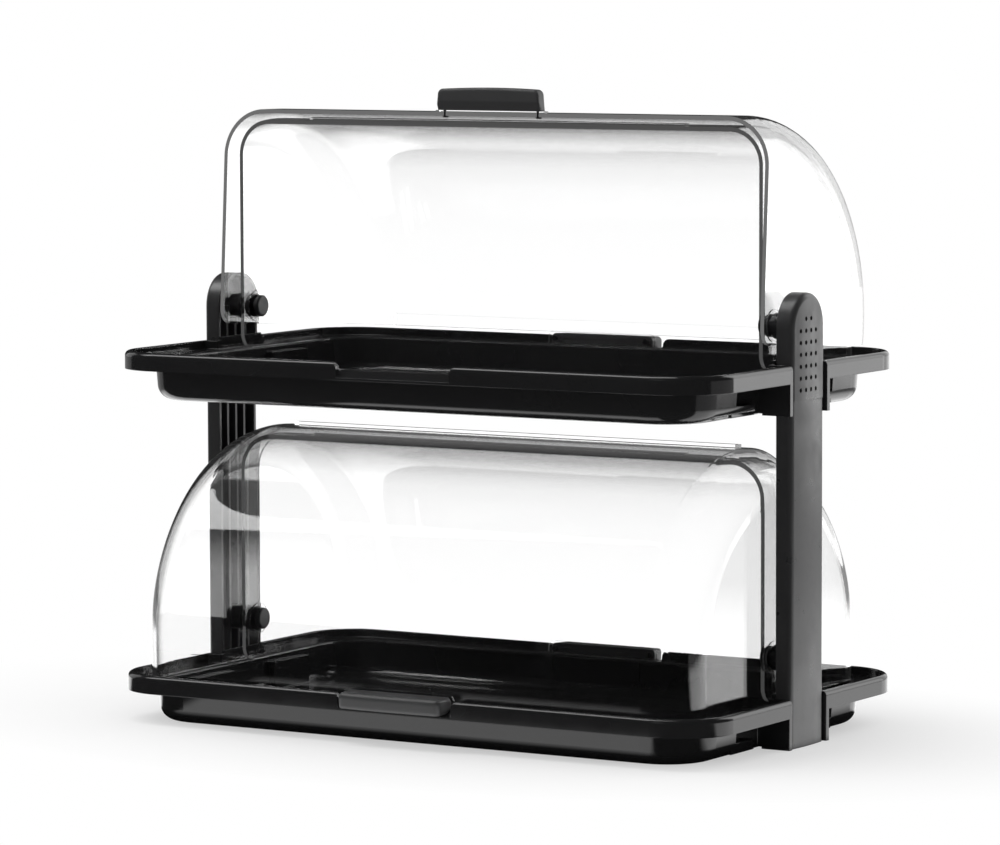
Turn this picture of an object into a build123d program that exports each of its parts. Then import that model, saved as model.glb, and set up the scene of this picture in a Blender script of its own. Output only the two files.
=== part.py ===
from build123d import *
from math import cos, radians, sin
import os

os.makedirs("parts", exist_ok=True)

# Two-tier countertop bread display bin.
# Frame: +Z up, front towards -Y, origin on the counter under the middle of the bin. Millimetres.
# Each tier is a black tray with a clear rear cover, fixed, and a clear front cover that rolls up over it.

# --- Trays -------------------------------------------------------------------------------------
tray_width = 420.0
tray_depth = 260.0
rim_corner_radius = 36.0
basin_drop = 19.0  # underside of the tray to the bottom of its skirt
crest_rise = 11.0  # bottom of the skirt to the crest of the rim
crest_wall = 4.0
crest_outer_radius = 3.0
crest_inner_radius = 0.8
ledge_rise = 5.9  # bottom of the skirt to the ledge inside the crest
tray_wall = 2.5
basin_wall = 3.2
basin_corner_radius = 34.0
basin_draft = 4.5  # degrees
basin_foot_radius = 9.0
basin_edge_radius = 2.0
notch_fall = 4.3  # drop of the notch's sloping floor, from the ledge to the outer face
notch_fall_length = 6.4
notch_top_radius = 4.5

# --- Posts and their sockets -------------------------------------------------------------------
post_half_width = 20.4
post_thickness = 11.2
post_inset = 0.6  # outer face of the post inside the tray's side
post_web = 2.5
post_wall = 2.2
post_crown = 1.0  # bulge of the outer face
post_foot = 2.5
post_edge_radius = 3.2
rib_thickness = 2.0
rib_setback = 1.2
rib_count = 3
head_proud = 0.4
head_lead = 11.0  # start of the proud head below the upper tray's skirt
socket_side_gap = 1.2
socket_back_gap = 0.4
socket_wall = 2.0
socket_plate = 3.4
socket_lip = 2.5  # rise of the socket wall above the crest
socket_stand_off = 1.3  # socket wall outside the basin's wall
peg_diameter = 6.0  # pegs on the post that carry the tray's socket wall
peg_reach = 2.0
peg_clearance = 0.1
peg_rise = 10.0  # above the underside of the tray
peg_spacing = 20.0

# --- Recesses in the basin's sides, beside the sockets ------------------------------------------
recess_length = 35.0
recess_depth = 6.0
recess_toe_height = 8.0
recess_toe_start = 10.0
recess_toe_radius = 5.0

# --- Perforated head of the post ----------------------------------------------------------------
hole_diameter = 2.7
hole_pitch_across = 6.2
hole_pitch_down = 7.0
hole_top_offset = 5.2  # top row above the pivot
hole_lead = 1.6  # pattern in front of the post's middle
hole_full_rows = 6
hole_full_columns = 4

# --- Covers -------------------------------------------------------------------------------------
cover_wall = 2.5
cover_rim_gap = 2.0  # front cover to the inside of the crest
cover_radial_gap = 3.3  # front cover to rear cover
cover_ledge_gap = 0.3
pivot_rise = 32.2  # bottom of the skirt to the pivot
tier_gap = 22.8  # top of the lower cover to the underside of the upper tray
front_corner_radius = 29.0
rear_corner_radius = 22.0
front_trailing_edge = 11.5  # behind the pivot
rear_leading_edge = 14.0  # in front of the pivot
side_corner_radius = 9.5
tangent_angle = 3.0  # degrees below the pivot where the curve becomes a straight skirt
basin_inset = 0.7  # inside of the rear cover to the basin's edge
open_angle = 93.5

front_strip_height = 1.8
front_strip_width = 7.6
front_strip_length = 315.0
rear_strip_height = 1.6
rear_strip_width = 5.0
rear_strip_length = 266.0

# --- Pivots -------------------------------------------------------------------------------------
pin_diameter = 6.0
pin_clearance = 0.05
pin_end_in_post = 6.8  # depth of the pin in the post, from the post's inner face
boss_diameter = 15.5
boss_length = 5.0
side_play = 0.2
spacer_length = 4.6
cover_boss_diameter = 19.5
cover_boss_height = 1.0
knob_diameter = 13.6
knob_neck_diameter = 10.8
knob_neck = 1.6
knob_length = 4.2
knob_edge_radius = 1.5
knob_cap = 1.6

# --- Handles ------------------------------------------------------------------------------------
handle_width = 73.0
handle_rise = 6.6  # top of the handle above the cover's bottom edge
handle_height = 9.6
front_handle_depth = 14.0
rear_handle_depth = 17.0
handle_crown = 1.0  # bulge of the outer face
handle_end_taper = 1.2
handle_corner_radius = 3.6
handle_top_radius = 3.0
handle_bottom_radius = 1.6
handle_floor_gap = 0.5  # underside to the floor of the tray's notch
handle_side_gap = 3.0
pad_width = 77.0
pad_height = 7.6
pad_corner_radius = 4.0
pad_rise = 0.4  # bottom of the pad above the cover's bottom edge
pad_thickness = 1.0
screw_spacing = 66.0
screw_rise = 3.3  # screws above the cover's bottom edge
screw_diameter = 2.0
screw_clearance = 0.05
screw_head_diameter = 3.6
screw_head_height = 1.0
screw_reach = 6.0

# --- Derived sizes ------------------------------------------------------------------------------
half_width = tray_width / 2
half_depth = tray_depth / 2
crest_height = basin_drop + crest_rise
ledge_height = basin_drop + ledge_rise
post_outer = half_width - post_inset
post_inner = post_outer - post_thickness
socket_inner = post_inner - socket_back_gap
socket_half_width = post_half_width + socket_side_gap
plate_outer = socket_half_width + socket_plate
basin_half_width = socket_inner - socket_wall - socket_stand_off

front_half_width = post_inner - boss_length - side_play
front_radius = half_depth - crest_wall - cover_rim_gap
rear_radius = front_radius - cover_wall - cover_radial_gap
spacer_outer = front_half_width - cover_wall - side_play
rear_half_width = spacer_outer - spacer_length
knob_outer = rear_half_width - cover_wall - cover_boss_height
pin_outer = post_inner + pin_end_in_post
pin_inner = knob_outer - knob_length + knob_cap
basin_half_depth = rear_radius - cover_wall - basin_inset + basin_wall
bore_diameter = pin_diameter + 2 * pin_clearance

cover_drop = pivot_rise - ledge_rise - cover_ledge_gap
tier_pitch = basin_drop + pivot_rise + front_radius + tier_gap
lower_base = 0.0
upper_base = tier_pitch
lower_pivot = lower_base + basin_drop + pivot_rise
upper_pivot = upper_base + basin_drop + pivot_rise
notch_width = handle_width + 2 * handle_side_gap
notch_start = half_depth - notch_fall_length


def pivot_frame(height, facing, opening=0.0):
    """Place of a cover: origin on its pivot, X along the pivot, -Y towards its handle when closed."""
    turn = radians(opening)
    return Plane(origin=(0, 0, height), x_dir=(facing, 0, 0), z_dir=(0, facing * sin(turn), cos(turn)))


def side_plane(shift=0.0):
    """Plane across the pivot axis: sketch x is Y, sketch y is Z."""
    return Plane(origin=(shift, 0, 0), x_dir=(0, 1, 0), z_dir=(1, 0, 0))


def outward_plane(side):
    """Plane across the bin's width: sketch x points to one end, sketch y upwards."""
    return Plane(origin=(0, 0, 0), x_dir=(side, 0, 0), z_dir=(0, -side, 0))


def end_plane(side, distance):
    """Plane facing away from the middle of the bin at one end, sketch y upwards."""
    return Plane(origin=(side * distance, 0, 0), x_dir=(0, side, 0), z_dir=(side, 0, 0))


# --- Trays -------------------------------------------------------------------------------------
def build_tray(base):
    """One tray: skirt and crest, ledge, basin, two handle notches and two post sockets."""
    skirt = base + basin_drop
    ledge = base + ledge_height
    crest = base + crest_height
    inner_width = tray_width - 2 * crest_wall
    inner_depth = tray_depth - 2 * crest_wall
    inner_corner = rim_corner_radius - crest_wall
    floor = base + tray_wall

    with BuildPart() as tray:
        # rim, with a channel above the ledge and a hollow below it
        with BuildSketch(Plane.XY.offset(skirt)):
            RectangleRounded(tray_width, tray_depth, rim_corner_radius)
        extrude(amount=crest_rise)
        fillet(tray.edges().group_by(Axis.Z)[-1], crest_outer_radius)
        with BuildSketch(Plane.XY.offset(ledge)):
            RectangleRounded(inner_width, inner_depth, inner_corner)
        extrude(amount=crest_rise, mode=Mode.SUBTRACT)
        crest_face = tray.faces().filter_by(Axis.Z).sort_by(Axis.Z)[-1]
        fillet(crest_face.inner_wires()[0].edges(), crest_inner_radius)
        with BuildSketch(Plane.XY.offset(skirt)):
            RectangleRounded(inner_width, inner_depth, inner_corner)
        extrude(amount=ledge_rise - tray_wall, mode=Mode.SUBTRACT)

        # outside of the basin
        with BuildSketch(Plane.XY.offset(ledge)):
            RectangleRounded(2 * basin_half_width, 2 * basin_half_depth, basin_corner_radius)
        extrude(amount=-ledge_height, taper=basin_draft)
        fillet(tray.faces().sort_by(Axis.Z)[0].edges(), basin_foot_radius)

        # solid bed under each handle notch
        bed_length = half_depth - basin_half_depth
        with BuildSketch(Plane.XY.offset(skirt)):
            with GridLocations(0, 2 * half_depth - bed_length, 1, 2):
                Rectangle(notch_width + 2 * tray_wall, bed_length)
        extrude(amount=ledge_rise)

        # solid block for each post socket, lower towards the basin
        for side in (-1, 1):
            block_inner = basin_half_width - basin_wall
            block_top = socket_inner - socket_wall
            with BuildSketch(outward_plane(side)):
                with BuildLine():
                    Polyline(
                        (block_inner, base),
                        (half_width, base),
                        (half_width, crest),
                        (block_top, crest),
                        (block_top, ledge),
                        (block_inner, ledge),
                        close=True,
                    )
                make_face()
                fillet(vertices().group_by(Axis.X)[-1].sort_by(Axis.Y)[-1], crest_outer_radius)
            extrude(amount=plate_outer, both=True)

        # inside of the basin
        with BuildSketch(Plane.XY.offset(ledge)):
            RectangleRounded(
                2 * (basin_half_width - basin_wall),
                2 * (basin_half_depth - basin_wall),
                basin_corner_radius - basin_wall,
            )
        extrude(amount=-(ledge_height - tray_wall), taper=basin_draft, mode=Mode.SUBTRACT)
        floor_face = tray.faces().filter_by(Axis.Z).sort_by(lambda face: abs(face.center().Z - floor))[0]
        fillet(floor_face.edges(), basin_foot_radius - tray_wall)
        ledge_face = tray.faces().filter_by(Axis.Z).filter_by_position(Axis.Z, ledge - 0.1, ledge + 0.1)
        fillet(ledge_face.sort_by(SortBy.AREA)[-1].inner_wires()[0].edges(), basin_edge_radius)

        # recesses beside the sockets, with the basin's wall stepped in behind them
        recess_inner = basin_half_width - recess_depth
        step_inner = recess_inner - tray_wall
        step_outer = basin_half_width - basin_wall
        for side in (-1, 1):
            for end in (-1, 1):
                near = plate_outer * end
                far = (plate_outer + recess_length) * end
                step_middle = (side * (step_inner + step_outer) / 2, (near + far) / 2)
                with BuildSketch(Plane.XY.offset(floor - tray_wall / 2)):
                    with Locations(step_middle):
                        Rectangle(step_outer - step_inner, recess_length + 2 * tray_wall)
                extrude(amount=basin_drop)
                with BuildSketch(side_plane(side * recess_inner)):
                    with BuildLine():
                        Polyline(
                            (near, base),
                            (near, skirt),
                            (far, skirt),
                            (far, base + recess_toe_height),
                            (near + recess_toe_start * end, base + recess_toe_height),
                            (near + recess_toe_start * end, base),
                            close=True,
                        )
                    make_face()
                    toe = Vertex((near + recess_toe_start * end), base + recess_toe_height, 0)
                    fillet(vertices().sort_by_distance(toe)[0], recess_toe_radius)
                extrude(amount=side * 2 * recess_depth, mode=Mode.SUBTRACT)

        # slots that the posts stand in
        slot_length = half_width - socket_inner + 1
        with BuildSketch(Plane.XY.offset(base)):
            with GridLocations(2 * socket_inner + slot_length, 0, 2, 1):
                Rectangle(slot_length, 2 * socket_half_width)
        extrude(amount=crest_height, mode=Mode.SUBTRACT)

        # raised lip on each socket wall
        with BuildSketch(Plane.XY.offset(crest)):
            with GridLocations(2 * socket_inner - socket_wall, 0, 2, 1):
                Rectangle(socket_wall, 2 * socket_half_width)
        extrude(amount=socket_lip)

        # blind holes in the socket walls for the posts' pegs
        for side in (-1, 1):
            with BuildSketch(end_plane(side, socket_inner)):
                with Locations((0, base + peg_rise)):
                    with GridLocations(peg_spacing, 0, 2, 1):
                        Circle(peg_diameter / 2 + peg_clearance)
            extrude(amount=-peg_reach - peg_clearance, mode=Mode.SUBTRACT)

        # handle notches, with a floor that slopes down to the outside and rounded ends
        for side in (-1, 1):
            with BuildSketch(Plane.YZ):
                with BuildLine():
                    Polyline(
                        (side * notch_start, ledge),
                        (side * half_depth, ledge - notch_fall),
                        (side * (half_depth + 1), ledge - notch_fall),
                        (side * (half_depth + 1), crest + 1),
                        (side * notch_start, crest + 1),
                        close=True,
                    )
                make_face()
            extrude(amount=notch_width / 2, both=True, mode=Mode.SUBTRACT)
        flare_middle = (notch_width + notch_top_radius) / 2
        with BuildSketch(Plane.XZ):
            for end in (-1, 1):
                with Locations((end * flare_middle, crest - notch_top_radius / 2)):
                    Rectangle(notch_top_radius, notch_top_radius)
                with Locations((end * (notch_width / 2 + notch_top_radius), crest - notch_top_radius)):
                    Circle(notch_top_radius, mode=Mode.SUBTRACT)
        extrude(amount=half_depth + 1, both=True, mode=Mode.SUBTRACT)
    return tray


# --- Posts -------------------------------------------------------------------------------------
def build_post(side):
    """One post: channel open towards the bin, ribs, pivot bosses, pegs and a perforated round head."""
    inner_face = end_plane(side, post_inner)
    head_start = upper_base + basin_drop - head_lead
    head_top = upper_pivot + post_half_width
    edge_outer = post_outer - post_crown
    channel_depth = post_thickness - post_crown - post_web
    pivots = (lower_pivot, upper_pivot)

    with BuildPart() as post:
        # head, crowned outside, with a round top and a rounded outer edge
        head_edge = edge_outer + head_proud
        with BuildSketch(Plane.XY.offset(head_start)):
            with BuildLine():
                Polyline(
                    (side * head_edge, -post_half_width),
                    (side * post_inner, -post_half_width),
                    (side * post_inner, post_half_width),
                    (side * head_edge, post_half_width),
                )
                ThreePointArc(
                    (side * head_edge, post_half_width),
                    (side * (post_outer + head_proud), 0),
                    (side * head_edge, -post_half_width),
                )
            make_face()
        extrude(amount=head_top - head_start)
        with BuildSketch(inner_face):
            with Locations((0, upper_pivot)):
                Circle(post_half_width)
            with Locations((0, upper_pivot / 2)):
                Rectangle(2 * post_half_width, upper_pivot)
        extrude(amount=post_thickness + 1, mode=Mode.INTERSECT)
        outer_face = post.faces().sort_by(lambda face: abs(face.center().X))[-1]
        fillet(outer_face.edges().filter_by(lambda edge: edge.center().Z > head_start + 1), post_edge_radius)

        # shaft
        with BuildSketch(Plane.XY):
            with BuildLine():
                Polyline(
                    (side * edge_outer, -post_half_width),
                    (side * post_inner, -post_half_width),
                    (side * post_inner, post_half_width),
                    (side * edge_outer, post_half_width),
                )
                ThreePointArc(
                    (side * edge_outer, post_half_width),
                    (side * post_outer, 0),
                    (side * edge_outer, -post_half_width),
                )
            make_face()
            fillet(vertices().sort_by(lambda corner: abs(corner.X))[-2:], post_edge_radius)
        extrude(amount=head_start)

        # channel, and the ribs that stand in it
        channel_half_width = post_half_width - post_wall
        with BuildSketch(inner_face):
            with Locations((0, upper_pivot)):
                Circle(channel_half_width)
            with Locations((0, (upper_pivot + post_foot) / 2)):
                Rectangle(2 * channel_half_width, upper_pivot - post_foot)
        extrude(amount=channel_depth, mode=Mode.SUBTRACT)
        rib_pitch = 2 * channel_half_width / (rib_count + 1)
        with BuildSketch(inner_face.offset(rib_setback)):
            with Locations((0, upper_pivot / 2)):
                with GridLocations(rib_pitch, 0, rib_count, 1):
                    Rectangle(rib_thickness, upper_pivot)
        extrude(amount=channel_depth - rib_setback)

        # pivot bosses and their bores
        with BuildSketch(inner_face.offset(-boss_length)):
            with Locations(*[(0, pivot) for pivot in pivots]):
                Circle(boss_diameter / 2)
        extrude(amount=boss_length + channel_depth)
        with BuildSketch(inner_face.offset(-boss_length)):
            with Locations(*[(0, pivot) for pivot in pivots]):
                Circle(bore_diameter / 2)
        extrude(amount=boss_length + pin_end_in_post, mode=Mode.SUBTRACT)

        # pegs that carry the trays
        with BuildSketch(inner_face.offset(-socket_back_gap - peg_reach)):
            with Locations(*[(0, base + peg_rise) for base in (lower_base, upper_base)]):
                with GridLocations(peg_spacing, 0, 2, 1):
                    Circle(peg_diameter / 2)
        extrude(amount=socket_back_gap + peg_reach + channel_depth)

        # perforations of the head
        with BuildSketch(inner_face.offset(channel_depth)):
            with Locations((-side * hole_lead, upper_pivot + hole_top_offset)):
                with GridLocations(hole_pitch_across, 0, 2, 1):
                    Circle(hole_diameter / 2)
            rows_middle = upper_pivot + hole_top_offset - hole_pitch_down * (hole_full_rows + 1) / 2
            with Locations((-side * hole_lead, rows_middle)):
                with GridLocations(hole_pitch_across, hole_pitch_down, hole_full_columns, hole_full_rows):
                    Circle(hole_diameter / 2)
        extrude(amount=post_thickness, mode=Mode.SUBTRACT)
    return post


# --- Covers ------------------------------------------------------------------------------------
# Covers, handles and their screws are built about the origin, closed and facing the front, then placed.
# `grip` is turned so that its -Y is square to the straight part of a cover's wall.
grip_tilt = radians(tangent_angle)
grip = Plane(origin=(0, 0, 0), x_dir=(1, 0, 0), z_dir=(0, -sin(grip_tilt), cos(grip_tilt)))
outward = Axis((0, 0, 0), -grip.y_dir)
upward = Axis((0, 0, 0), grip.z_dir)


def grip_plane(distance):
    """Plane along a cover's straight wall: sketch x along the pivot, sketch y up the wall."""
    return Plane(origin=-grip.y_dir * distance, x_dir=grip.x_dir, z_dir=-grip.y_dir)


def edge_drop(radius):
    """Distance of a cover's bottom edge below the pivot, along its straight wall."""
    return (cover_drop - radius * sin(grip_tilt)) / cos(grip_tilt)


def add_drum(half_width, radius, corner_radius, mode):
    """Cover section turned about the pivot, then run straight down past the cover's bottom edge."""
    shoulder = radius - corner_radius
    crown = half_width - corner_radius
    with BuildSketch(Plane(origin=(0, 0, 0), x_dir=grip.x_dir, z_dir=-grip.z_dir)) as section:
        with BuildLine():
            Polyline((-half_width, shoulder), (-half_width, 0), (half_width, 0), (half_width, shoulder))
            TangentArc((half_width, shoulder), (crown, radius), tangent=(0, 1))
            Line((crown, radius), (-crown, radius))
            TangentArc((-crown, radius), (-half_width, shoulder), tangent=(-1, 0))
        make_face()
    revolve(section.sketch, axis=Axis.X, mode=mode)
    extrude(section.sketch, amount=2 * cover_drop, mode=mode)


def build_cover(half_width, radius, corner_radius, edge, strip, boss_height):
    """One clear cover. Its free edge stands at `edge` on Y; strip is height, width and length."""
    strip_height, strip_width, strip_length = strip
    bottom = -edge_drop(radius)
    inner_half_width = half_width - cover_wall
    with BuildPart() as cover:
        add_drum(half_width, radius, corner_radius, Mode.ADD)
        # bounds of the cover, seen from its end
        with BuildSketch(side_plane()):
            with BuildLine():
                Polyline(
                    (edge, -cover_drop),
                    (edge, 2 * radius),
                    (-2 * radius, 2 * radius),
                    (-2 * radius, -cover_drop),
                    close=True,
                )
            make_face()
            fillet(vertices().sort_by_distance(Vertex(0, 0, 0))[0], side_corner_radius)
        extrude(amount=tray_width, both=True, mode=Mode.INTERSECT)
        # raised strip along the free edge
        with BuildSketch(side_plane()):
            Circle(radius + strip_height)
            Circle(radius - cover_wall / 2, mode=Mode.SUBTRACT)
            with Locations((edge - strip_width / 2, radius)):
                Rectangle(strip_width, radius, mode=Mode.INTERSECT)
        extrude(amount=strip_length / 2, both=True)
        # raised pad under the handle
        with BuildSketch(grip_plane(radius - cover_wall / 2)):
            with Locations((0, bottom + pad_rise + pad_height / 2)):
                Rectangle(pad_width, pad_height)
            fillet(vertices().group_by(Axis.Y)[-1], pad_corner_radius)
        extrude(amount=cover_wall / 2 + pad_thickness)
        add_drum(inner_half_width, radius - cover_wall, corner_radius - cover_wall, Mode.SUBTRACT)
        # bosses inside the ends, then the bores for the pivot pins
        if boss_height > 0:
            for end in (-1, 1):
                with BuildSketch(side_plane(end * (inner_half_width - boss_height))):
                    Circle(cover_boss_diameter / 2)
                extrude(amount=end * (boss_height + cover_wall / 2))
        with BuildSketch(side_plane()):
            Circle(bore_diameter / 2)
        extrude(amount=tray_width, both=True, mode=Mode.SUBTRACT)
        # holes for the handle's screws
        with BuildSketch(grip_plane(0)):
            with Locations((0, bottom + screw_rise)):
                with GridLocations(screw_spacing, 0, 2, 1):
                    Circle(screw_diameter / 2 + screw_clearance)
        extrude(amount=2 * radius, mode=Mode.SUBTRACT)
    return cover


# --- Handles -----------------------------------------------------------------------------------
def build_handle(radius, depth):
    """Black bar on the outside of a cover, with a crowned face and an underside that clears the notch."""
    edge = -edge_drop(radius)
    top = edge + handle_rise
    back = radius + pad_thickness
    half_back = handle_width / 2
    half_front = half_back - handle_end_taper
    shut_floor = ledge_rise - pivot_rise + handle_floor_gap
    with BuildPart() as handle:
        with BuildSketch(Plane(origin=grip.z_dir * top, x_dir=grip.x_dir, z_dir=-grip.z_dir)):
            with BuildLine():
                Polyline(
                    (half_front, back + depth - handle_crown),
                    (half_back, back),
                    (-half_back, back),
                    (-half_front, back + depth - handle_crown),
                )
                ThreePointArc(
                    (-half_front, back + depth - handle_crown),
                    (0, back + depth),
                    (half_front, back + depth - handle_crown),
                )
            make_face()
            fillet(vertices().group_by(Axis.Y)[-1], handle_corner_radius)
        extrude(amount=handle_height)
        # underside raised over the floor of the tray's notch
        with BuildSketch(side_plane()):
            with BuildLine():
                Polyline(
                    (-half_depth - handle_floor_gap, shut_floor - notch_fall),
                    (-notch_start, shut_floor),
                    (0, shut_floor),
                    (0, shut_floor - 2 * handle_height),
                    (-half_depth - handle_floor_gap, shut_floor - 2 * handle_height),
                    close=True,
                )
            make_face()
        extrude(amount=handle_width, both=True, mode=Mode.SUBTRACT)
        for upper, round_radius in ((True, handle_top_radius), (False, handle_bottom_radius)):
            flat = handle.faces().sort_by(upward)[-1 if upper else 0]
            fillet(flat.edges().sort_by(outward)[1:], round_radius)
        # holes for the screws
        with BuildSketch(grip_plane(back)):
            with Locations((0, edge + screw_rise)):
                with GridLocations(screw_spacing, 0, 2, 1):
                    Circle(screw_diameter / 2 + screw_clearance)
        extrude(amount=screw_reach + screw_clearance, mode=Mode.SUBTRACT)
    return handle


def build_handle_screws(radius):
    """Two screws driven from inside the cover into the handle."""
    seat = radius - cover_wall
    height = screw_rise - edge_drop(radius)
    with BuildPart() as screws:
        with BuildSketch(grip_plane(seat - screw_head_height)):
            with Locations((0, height)):
                with GridLocations(screw_spacing, 0, 2, 1):
                    Circle(screw_head_diameter / 2)
        extrude(amount=screw_head_height)
        fillet(screws.edges().group_by(outward)[0], screw_head_height / 3)
        with BuildSketch(grip_plane(seat)):
            with Locations((0, height)):
                with GridLocations(screw_spacing, 0, 2, 1):
                    Circle(screw_diameter / 2)
        extrude(amount=cover_wall + pad_thickness + screw_reach)
    return screws


# --- Pivots ------------------------------------------------------------------------------------
def build_pin(side, height):
    """Pivot pin, from the post through both covers into the knob."""
    with BuildPart() as pin:
        with BuildSketch(end_plane(side, pin_inner)):
            with Locations((0, height)):
                Circle(pin_diameter / 2)
        extrude(amount=pin_outer - pin_inner)
    return pin


def build_spacer(side, height):
    """Ring on the pin that keeps the two covers apart."""
    with BuildPart() as spacer:
        with BuildSketch(end_plane(side, rear_half_width)):
            with Locations((0, height)):
                Circle(boss_diameter / 2)
                Circle(bore_diameter / 2, mode=Mode.SUBTRACT)
        extrude(amount=spacer_length)
    return spacer


def build_knob(side, height):
    """Round button on a short neck, pressed on the inner end of the pin."""
    with BuildPart() as knob:
        with BuildSketch(end_plane(side, knob_outer - knob_length)):
            with Locations((0, height)):
                Circle(knob_diameter / 2)
        extrude(amount=knob_length - knob_neck)
        fillet(knob.edges().sort_by(lambda edge: abs(edge.center().X))[0], knob_edge_radius)
        with BuildSketch(end_plane(side, knob_outer - knob_neck)):
            with Locations((0, height)):
                Circle(knob_neck_diameter / 2)
        extrude(amount=knob_neck)
        with BuildSketch(end_plane(side, pin_inner - pin_clearance)):
            with Locations((0, height)):
                Circle(bore_diameter / 2)
        extrude(amount=knob_length, mode=Mode.SUBTRACT)
    return knob


def finish(piece, name, place=Plane.XY):
    """Put a piece in its place, label it and write it as its own file."""
    with BuildPart() as placed:
        add(piece.part.moved(place.location))
    placed.part.label = name
    export_step(placed.part, f"parts/{name}.step")


# --- Assembly ----------------------------------------------------------------------------------
ends = (("left", -1), ("right", 1))
tiers = (("lower", lower_base, lower_pivot, 0.0), ("upper", upper_base, upper_pivot, open_angle))
front_strip = (front_strip_height, front_strip_width, front_strip_length)
rear_strip = (rear_strip_height, rear_strip_width, rear_strip_length)
front_cover = build_cover(
    front_half_width, front_radius, front_corner_radius, front_trailing_edge, front_strip, 0.0
)
rear_cover = build_cover(
    rear_half_width, rear_radius, rear_corner_radius, rear_leading_edge, rear_strip, cover_boss_height
)

for end_name, end in ends:
    finish(build_post(end), f"{end_name}_post")

for tier, base, pivot, opening in tiers:
    finish(build_tray(base), f"{tier}_tray")
    front = pivot_frame(pivot, 1, opening)
    rear = pivot_frame(pivot, -1)
    finish(front_cover, f"{tier}_front_cover", front)
    finish(rear_cover, f"{tier}_rear_cover", rear)
    finish(build_handle(front_radius, front_handle_depth), f"{tier}_front_handle", front)
    finish(build_handle(rear_radius, rear_handle_depth), f"{tier}_rear_handle", rear)
    finish(build_handle_screws(front_radius), f"{tier}_front_handle_screws", front)
    finish(build_handle_screws(rear_radius), f"{tier}_rear_handle_screws", rear)
    for end_name, end in ends:
        finish(build_pin(end, pivot), f"{tier}_{end_name}_pivot_pin")
        finish(build_spacer(end, pivot), f"{tier}_{end_name}_spacer")
        finish(build_knob(end, pivot), f"{tier}_{end_name}_knob")
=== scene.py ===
import bpy
from math import cos, pi, radians, sin
from mathutils import Matrix, Vector


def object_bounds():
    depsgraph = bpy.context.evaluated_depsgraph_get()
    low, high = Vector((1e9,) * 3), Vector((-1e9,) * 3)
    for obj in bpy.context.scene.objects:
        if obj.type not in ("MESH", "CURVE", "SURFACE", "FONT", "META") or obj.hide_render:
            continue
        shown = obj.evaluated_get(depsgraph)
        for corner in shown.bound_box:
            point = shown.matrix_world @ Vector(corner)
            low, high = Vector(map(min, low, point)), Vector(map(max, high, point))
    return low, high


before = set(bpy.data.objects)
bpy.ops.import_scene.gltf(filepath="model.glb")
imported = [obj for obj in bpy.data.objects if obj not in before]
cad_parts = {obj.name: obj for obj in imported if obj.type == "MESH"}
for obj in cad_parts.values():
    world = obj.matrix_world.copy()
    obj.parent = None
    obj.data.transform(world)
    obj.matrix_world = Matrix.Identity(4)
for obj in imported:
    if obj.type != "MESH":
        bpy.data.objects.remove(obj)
cad_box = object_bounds()

MM = 0.001
BOX_LOW, BOX_HIGH = (Vector(corner) for corner in cad_box)
MIDDLE = (BOX_LOW + BOX_HIGH) / 2
WHITE = (1, 1, 1, 1)

TIERS = ("lower", "upper")
ENDS = ("left", "right")
SIDES = ("front", "rear")


# --- Nodes -------------------------------------------------------------------------------------
NOISE_RANGE = (0.35, 0.65)  # where most of a noise texture's values lie
COLOUR_A, COLOUR_B, COLOUR_RESULT = 6, 7, 2  # the Mix node's sockets for colours


def new_material(name):
    """Empty material, with its node tree and its output node."""
    material = bpy.data.materials.new(name)
    material.use_nodes = True
    tree = material.node_tree
    tree.nodes.clear()
    output = tree.nodes.new("ShaderNodeOutputMaterial")
    return material, tree, output


def add_node(tree, kind, inputs=None, **settings):
    """A node; inputs maps a socket's name or number to a value or to another node's output."""
    node = tree.nodes.new(kind)
    for key, value in settings.items():
        setattr(node, key, value)
    for key, value in (inputs or {}).items():
        if isinstance(value, bpy.types.NodeSocket):
            tree.links.new(value, node.inputs[key])
        else:
            node.inputs[key].default_value = value
    return node


def noise(tree, scale, detail, roughness=0.5):
    """Noise in the object's own space, with its scale in features per metre."""
    place = add_node(tree, "ShaderNodeTexCoord")
    return add_node(
        tree,
        "ShaderNodeTexNoise",
        {"Vector": place.outputs["Object"], "Scale": scale, "Detail": detail, "Roughness": roughness},
    ).outputs["Fac"]


def remap(tree, value, low, high, from_low=NOISE_RANGE[0], from_high=NOISE_RANGE[1]):
    """The value's range from_low to from_high, turned into low to high and held there."""
    return add_node(
        tree,
        "ShaderNodeMapRange",
        {"Value": value, "From Min": from_low, "From Max": from_high, "To Min": low, "To Max": high},
    ).outputs["Result"]


def maths(tree, operation, *values):
    return add_node(tree, "ShaderNodeMath", dict(enumerate(values)), operation=operation).outputs[0]


def vector_maths(tree, operation, *vectors):
    return add_node(tree, "ShaderNodeVectorMath", dict(enumerate(vectors)), operation=operation)


def mix_values(tree, factor, first, second):
    sockets = {"Factor": factor, "A": first, "B": second}
    return add_node(tree, "ShaderNodeMix", sockets, data_type="FLOAT").outputs[0]


def mix_colours(tree, factor, first, second):
    sockets = {"Factor": factor, COLOUR_A: (*first, 1), COLOUR_B: (*second, 1)}
    return add_node(tree, "ShaderNodeMix", sockets, data_type="RGBA").outputs[COLOUR_RESULT]


def mix_shaders(tree, factor, first, second):
    return add_node(tree, "ShaderNodeMixShader", {0: factor, 1: first, 2: second}).outputs["Shader"]


# --- Materials ---------------------------------------------------------------------------------
BLACK_TONES = (0.85, 1.2)  # times the colour
BLACK_GLOSS = (0.85, 1.25)  # times the roughness
GRAIN_HEIGHT = 0.05 * MM
BEVEL_SAMPLES = 4

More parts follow.
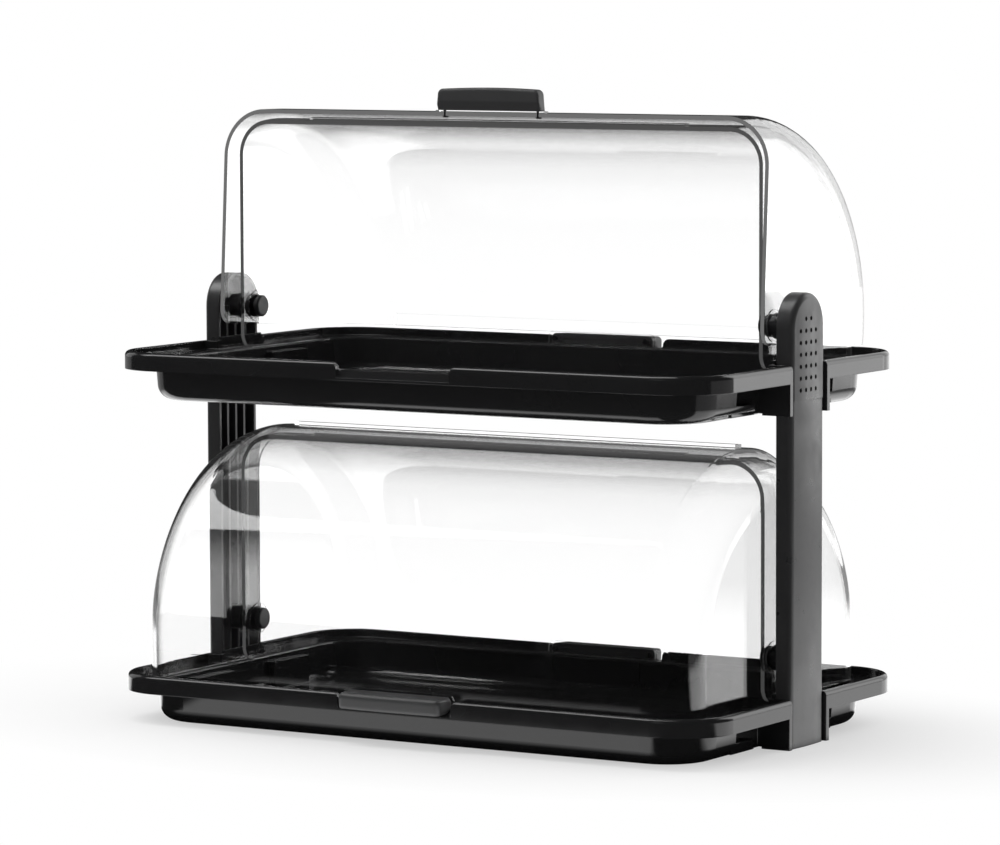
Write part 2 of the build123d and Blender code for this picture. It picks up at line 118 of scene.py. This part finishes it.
CLEAR_IOR = 1.49
CLEAR_ROUGHNESS = (0.0, 0.02)
WAVE_STRENGTH = 0.05
WAVE_HEIGHT = 0.4 * MM
CAUGHT_BOUNCES = 2.5  # after more reflections than this, light counts as caught inside the wall
SHADOW_TINT = (0.97, 0.97, 0.97, 1)

STEEL_MARKS = (0.7, 1.3)  # times the roughness


def black_plastic(name, colour, roughness, grain, edge_radius, ior=1.5):
    """Moulded black plastic: fine grain in the bump, slow drift in tone and gloss, softened edges."""
    material, tree, output = new_material(name)
    drift = noise(tree, scale=14.0, detail=3.0)
    handling = noise(tree, scale=55.0, detail=4.0, roughness=0.6)
    texture = noise(tree, scale=2600.0, detail=1.0)
    dark, light = ([channel * share for channel in colour] for share in BLACK_TONES)
    rounding = add_node(tree, "ShaderNodeBevel", {"Radius": edge_radius}, samples=BEVEL_SAMPLES)
    bump = add_node(
        tree,
        "ShaderNodeBump",
        {
            "Height": texture,
            "Strength": grain,
            "Distance": GRAIN_HEIGHT,
            "Normal": rounding.outputs["Normal"],
        },
    )
    shader = add_node(
        tree,
        "ShaderNodeBsdfPrincipled",
        {
            "Base Color": mix_colours(tree, drift, dark, light),
            "Roughness": remap(tree, handling, *(roughness * share for share in BLACK_GLOSS)),
            "IOR": ior,
            "Normal": bump.outputs["Normal"],
        },
    )
    tree.links.new(shader.outputs["BSDF"], output.inputs["Surface"])
    return material


def clear_plastic(name, edge_light, limb_facing, painted_limb_shade):
    """Polished clear plastic with painted shade at its limb: the colour falls to painted_limb_shade over the
    range limb_facing as the wall is seen aslant.

    Lamps shine through it. Where light would run along inside the wall, its edges get a painted glow of
    strength edge_light.
    """
    material, tree, output = new_material(name)
    waviness = noise(tree, scale=9.0, detail=1.0)
    haze = noise(tree, scale=40.0, detail=4.0, roughness=0.6)
    bump = add_node(
        tree, "ShaderNodeBump", {"Height": waviness, "Strength": WAVE_STRENGTH, "Distance": WAVE_HEIGHT}
    )
    normal = bump.outputs["Normal"]
    slant = add_node(tree, "ShaderNodeLayerWeight", {"Blend": 0.5, "Normal": normal})
    shader = add_node(
        tree,
        "ShaderNodeBsdfPrincipled",
        {
            # painted shade: the colour is darker where the wall is seen aslant
            "Base Color": remap(tree, slant.outputs["Facing"], 1.0, painted_limb_shade, *limb_facing),
            "Roughness": remap(tree, haze, *CLEAR_ROUGHNESS),
            "IOR": CLEAR_IOR,
            "Transmission Weight": 1.0,
            "Normal": normal,
        },
    )
    ray = add_node(tree, "ShaderNodeLightPath")
    # painted light: the wall glows where rays are caught inside it
    painted_edge_glow = add_node(tree, "ShaderNodeEmission", {"Color": WHITE, "Strength": edge_light})
    caught = maths(tree, "GREATER_THAN", ray.outputs["Glossy Depth"], CAUGHT_BOUNCES)
    wall = mix_shaders(tree, caught, shader.outputs["BSDF"], painted_edge_glow.outputs["Emission"])
    lamplight = add_node(tree, "ShaderNodeBsdfTransparent", {"Color": SHADOW_TINT})
    surface = mix_shaders(tree, ray.outputs["Is Shadow Ray"], wall, lamplight.outputs["BSDF"])
    tree.links.new(surface, output.inputs["Surface"])
    return material


def steel(name, colour, roughness):
    """Turned or plated steel, with fine marks in its gloss."""
    material, tree, output = new_material(name)
    marks = noise(tree, scale=1500.0, detail=2.0)
    shader = add_node(
        tree,
        "ShaderNodeBsdfPrincipled",
        {
            "Base Color": (*colour, 1),
            "Metallic": 1.0,
            "Roughness": remap(tree, marks, *(roughness * share for share in STEEL_MARKS)),
        },
    )
    tree.links.new(shader.outputs["BSDF"], output.inputs["Surface"])
    return material


def assign(material, nodes):
    for node in nodes:
        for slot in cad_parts[node].material_slots:
            slot.material = material


def dress_nodes():
    pivots = [f"{tier}_{end}" for tier in TIERS for end in ENDS]
    handles = [f"{tier}_{side}_handle" for tier in TIERS for side in SIDES]
    tray = black_plastic(
        "tray_plastic", colour=(0.014, 0.014, 0.0145), roughness=0.11, grain=0.04, edge_radius=0.8 * MM
    )
    post = black_plastic(
        "post_plastic", colour=(0.034, 0.034, 0.035), roughness=0.32, grain=0.05, edge_radius=0.5 * MM, ior=1.6
    )
    pull = black_plastic(
        "pull_plastic", colour=(0.050, 0.050, 0.051), roughness=0.36, grain=0.05, edge_radius=2.0 * MM
    )
    fitting = black_plastic(
        "fitting_plastic", colour=(0.014, 0.014, 0.015), roughness=0.3, grain=0.1, edge_radius=0.3 * MM
    )
    shut = clear_plastic("closed_cover_plastic", edge_light=0.16, limb_facing=(0.46, 0.68), painted_limb_shade=0.22)
    rolled_up = clear_plastic("open_cover_plastic", edge_light=0.16, limb_facing=(0.5, 0.9), painted_limb_shade=0.22)
    rear = clear_plastic("rear_cover_plastic", edge_light=0.08, limb_facing=(0.46, 0.7), painted_limb_shade=0.6)
    screw = steel("screw_steel", colour=(0.05, 0.05, 0.052), roughness=0.35)
    pin = steel("pin_steel", colour=(0.6, 0.6, 0.61), roughness=0.25)
    assign(tray, [f"{tier}_tray" for tier in TIERS])
    assign(post, [f"{end}_post" for end in ENDS])
    assign(pull, handles)
    assign(fitting, [f"{pivot}_{kind}" for pivot in pivots for kind in ("knob", "spacer")])
    assign(shut, ["lower_front_cover"])
    assign(rolled_up, ["upper_front_cover"])
    assign(rear, [f"{tier}_rear_cover" for tier in TIERS])
    assign(screw, [f"{handle}_screws" for handle in handles])
    assign(pin, [f"{pivot}_pivot_pin" for pivot in pivots])


# --- Floor and world ---------------------------------------------------------------------------
FLOOR_SIZE = 6.0  # from the middle to each side
FLOOR_TONE = (0.93, 0.93, 0.93)
# painted dark reflection: the floor's colour as reflections see it
FLOOR_PAINTED_DARK_IN_GLOSS = (0.02, 0.02, 0.02)
SHADOW_REACH = (0.14, 0.27)  # from the middle, with X shortened: shaded floor, then plain white
SHADOW_SQUEEZE = 0.62  # how far X is shortened there
NEAR_WHITE = 0.5  # share of plain white in the shaded floor

# Where the floor glows pale in reflections (a painted reflection), in metres. Each pair is the start and the
# end of a soft edge.
PALE_FRONT = (0.20, 0.25)  # ahead of the middle: pale, then dark
FOOTPRINT = (0.205, 0.12)  # half sizes, in X and Y, of the painted shadow under the lower tray, dark in reflections
CONTACT = (0.0, 0.015)  # past the painted shadow: dark, then pale
PANEL_MIDDLE = -0.0085  # in X: the pale panel ahead of the front corners
PANEL_REACH = (0.172, 0.181)  # each way from its middle: pale, then dark
CORNERS_END = (-0.09, -0.07)  # in Y: dark round the front corners, then pale
PALE_REACH = (0.6, 0.9)  # from the middle, all round: pale, then dim
FAR_SHARE = 0.2  # how pale the dim floor is

PAINTED_GLOW_IN_GLOSS = 1.8  # strength of the floor's painted glow where reflections show it pale
WHITE_BEHIND_COVERS = 1.18  # makes up for what the clear walls take
WORLD_IN_GLOSS = 0.02
AMBIENT = 0.45
SEEN_DEPTH = 0.5  # between 0 for a straight ray and 1 for a reflected one, on a surface
WORLD_SEEN_DEPTH = SEEN_DEPTH + 1  # the world counts one more


def seen_directly(tree, ray, most_turns):
    """1 for the camera and for what it sees straight through the clear walls."""
    rays = maths(tree, "MAXIMUM", ray.outputs["Is Camera Ray"], ray.outputs["Is Transmission Ray"])
    turns = maths(tree, "SUBTRACT", ray.outputs["Ray Depth"], ray.outputs["Transmission Depth"])
    return maths(tree, "MULTIPLY", rays, maths(tree, "LESS_THAN", turns, most_turns))


def white_strength(tree, ray):
    """White for the camera, a little more behind the clear walls."""
    return mix_values(tree, ray.outputs["Is Camera Ray"], WHITE_BEHIND_COVERS, 1.0)


def painted_reflection_mask(tree, place):
    """Mask of the painted reflection on the floor, with a painted shadow under the lower tray, from 0 to 1."""
    axes = add_node(tree, "ShaderNodeSeparateXYZ", {"Vector": place})
    near = remap(tree, axes.outputs["Y"], 0.0, 1.0, -PALE_FRONT[1], -PALE_FRONT[0])

    # painted shadow: in reflections, the floor under the lower tray stays dark
    spread = vector_maths(tree, "ABSOLUTE", place)
    past = vector_maths(tree, "SUBTRACT", spread.outputs["Vector"], (*FOOTPRINT, 0))
    sides = add_node(tree, "ShaderNodeSeparateXYZ", {"Vector": past.outputs["Vector"]})
    outside = maths(tree, "MAXIMUM", sides.outputs["X"], sides.outputs["Y"])
    past_painted_shadow = remap(tree, outside, 0.0, 1.0, *CONTACT)

    aside = maths(tree, "ABSOLUTE", maths(tree, "SUBTRACT", axes.outputs["X"], PANEL_MIDDLE))
    panel = remap(tree, aside, 1.0, 0.0, *PANEL_REACH)
    beside = remap(tree, axes.outputs["Y"], 0.0, 1.0, *CORNERS_END)

    radius = vector_maths(tree, "LENGTH", place)
    within = remap(tree, radius.outputs["Value"], 1.0, FAR_SHARE, *PALE_REACH)

    pale = maths(tree, "MAXIMUM", panel, beside)
    for share in (near, past_painted_shadow, within):
        pale = maths(tree, "MULTIPLY", pale, share)
    return pale


def build_floor():
    """Pale floor that keeps the object's shadow and turns plain white away from it."""
    low, high = -FLOOR_SIZE, FLOOR_SIZE
    mesh = bpy.data.meshes.new("floor")
    mesh.from_pydata([(low, low, 0), (high, low, 0), (high, high, 0), (low, high, 0)], [], [(0, 1, 2, 3)])
    floor = bpy.data.objects.new("floor", mesh)
    bpy.context.scene.collection.objects.link(floor)
    material, tree, output = new_material("floor_paper")
    ray = add_node(tree, "ShaderNodeLightPath")
    place = add_node(tree, "ShaderNodeTexCoord").outputs["Object"]
    squeezed = vector_maths(tree, "MULTIPLY", place, (SHADOW_SQUEEZE, 1, 1))
    far = vector_maths(tree, "LENGTH", squeezed.outputs["Vector"])
    away = remap(tree, far.outputs["Value"], NEAR_WHITE, 1.0, *SHADOW_REACH)
    seen = maths(tree, "MULTIPLY", seen_directly(tree, ray, SEEN_DEPTH), away)
    gloss = maths(tree, "GREATER_THAN", ray.outputs["Glossy Depth"], SEEN_DEPTH)
    # painted reflection: floor patches that glow only for glossy rays
    painted_reflection = maths(tree, "MULTIPLY", gloss, painted_reflection_mask(tree, place))
    paper = add_node(
        tree, "ShaderNodeBsdfDiffuse", {"Color": mix_colours(tree, gloss, FLOOR_TONE, FLOOR_PAINTED_DARK_IN_GLOSS)}
    )
    strength = mix_values(tree, gloss, white_strength(tree, ray), PAINTED_GLOW_IN_GLOSS)
    white = add_node(tree, "ShaderNodeEmission", {"Color": WHITE, "Strength": strength})
    white_share = maths(tree, "MAXIMUM", seen, painted_reflection)
    surface = mix_shaders(tree, white_share, paper.outputs["BSDF"], white.outputs["Emission"])
    tree.links.new(surface, output.inputs["Surface"])
    mesh.materials.append(material)


def build_world():
    """White behind the object and through its clear walls, dark in the gloss, a plain level elsewhere."""
    world = bpy.data.worlds.new("studio")
    world.use_nodes = True
    tree = world.node_tree
    tree.nodes.clear()
    output = tree.nodes.new("ShaderNodeOutputWorld")
    ray = add_node(tree, "ShaderNodeLightPath")
    unseen = mix_values(tree, ray.outputs["Is Diffuse Ray"], WORLD_IN_GLOSS, AMBIENT)
    seen = seen_directly(tree, ray, WORLD_SEEN_DEPTH)
    strength = mix_values(tree, seen, unseen, white_strength(tree, ray))
    background = add_node(tree, "ShaderNodeBackground", {"Color": WHITE, "Strength": strength})
    tree.links.new(background.outputs["Background"], output.inputs["Surface"])
    bpy.context.scene.world = world


# --- Lamps and camera --------------------------------------------------------------------------
# The photograph's camera, in metres and degrees.
CAMERA_PLACE = Vector((1.62012, -2.67423, 0.46550))
CAMERA_HEADING = 31.276
CAMERA_PITCH = 5.155
CAMERA_ROLL = -0.17
CAMERA_LENS = 184.685
CAMERA_CLIP = (0.1, 50.0)
SENSOR_WIDTH = 36.0


def softbox(name, place, size, radiance):
    """Rectangular area light aimed at the middle of the object."""
    light = bpy.data.lights.new(name, "AREA")
    light.shape = "RECTANGLE"
    light.size, light.size_y = size
    light.energy = radiance * pi * size[0] * size[1]
    lamp = bpy.data.objects.new(name, light)
    lamp.location = place
    lamp.rotation_euler = (MIDDLE - Vector(place)).to_track_quat("-Z", "Y").to_euler()
    bpy.context.scene.collection.objects.link(lamp)


def build_lights():
    softbox("overhead", place=(-0.8, -0.35, 1.9), size=(0.7, 2.0), radiance=4.5)
    softbox("right_rear", place=(0.31, 0.99, 0.55), size=(1.1, 1.1), radiance=1.1)
    softbox("right_strip", place=(0.66, 0.945, 0.55), size=(0.44, 1.1), radiance=1.15)
    softbox("left", place=(-2.2, 0.4, 0.8), size=(1.2, 1.4), radiance=0.8)
    softbox("fill", place=(-0.5, -3.0, 1.8), size=(1.2, 0.8), radiance=0.6)


def build_camera():
    """Camera at the photograph's place, heading, pitch and roll."""
    heading, pitch, roll = radians(CAMERA_HEADING), radians(CAMERA_PITCH), radians(CAMERA_ROLL)
    forward = Vector((-sin(heading) * cos(pitch), cos(heading) * cos(pitch), -sin(pitch)))
    level = Vector((cos(heading), sin(heading), 0))
    upright = level.cross(forward)
    right = level * cos(roll) + upright * sin(roll)
    up = upright * cos(roll) - level * sin(roll)
    camera = bpy.data.cameras.new("camera")
    camera.lens = CAMERA_LENS
    camera.sensor_width = SENSOR_WIDTH
    camera.clip_start, camera.clip_end = CAMERA_CLIP
    view = bpy.data.objects.new("camera", camera)
    turn = Matrix((right, up, -forward)).transposed().to_4x4()
    view.matrix_world = Matrix.Translation(CAMERA_PLACE) @ turn
    bpy.context.scene.collection.objects.link(view)
    bpy.context.scene.camera = view


build_camera()
dress_nodes()
build_floor()
build_world()
build_lights()
bpy.context.scene.view_settings.view_transform = "Standard"
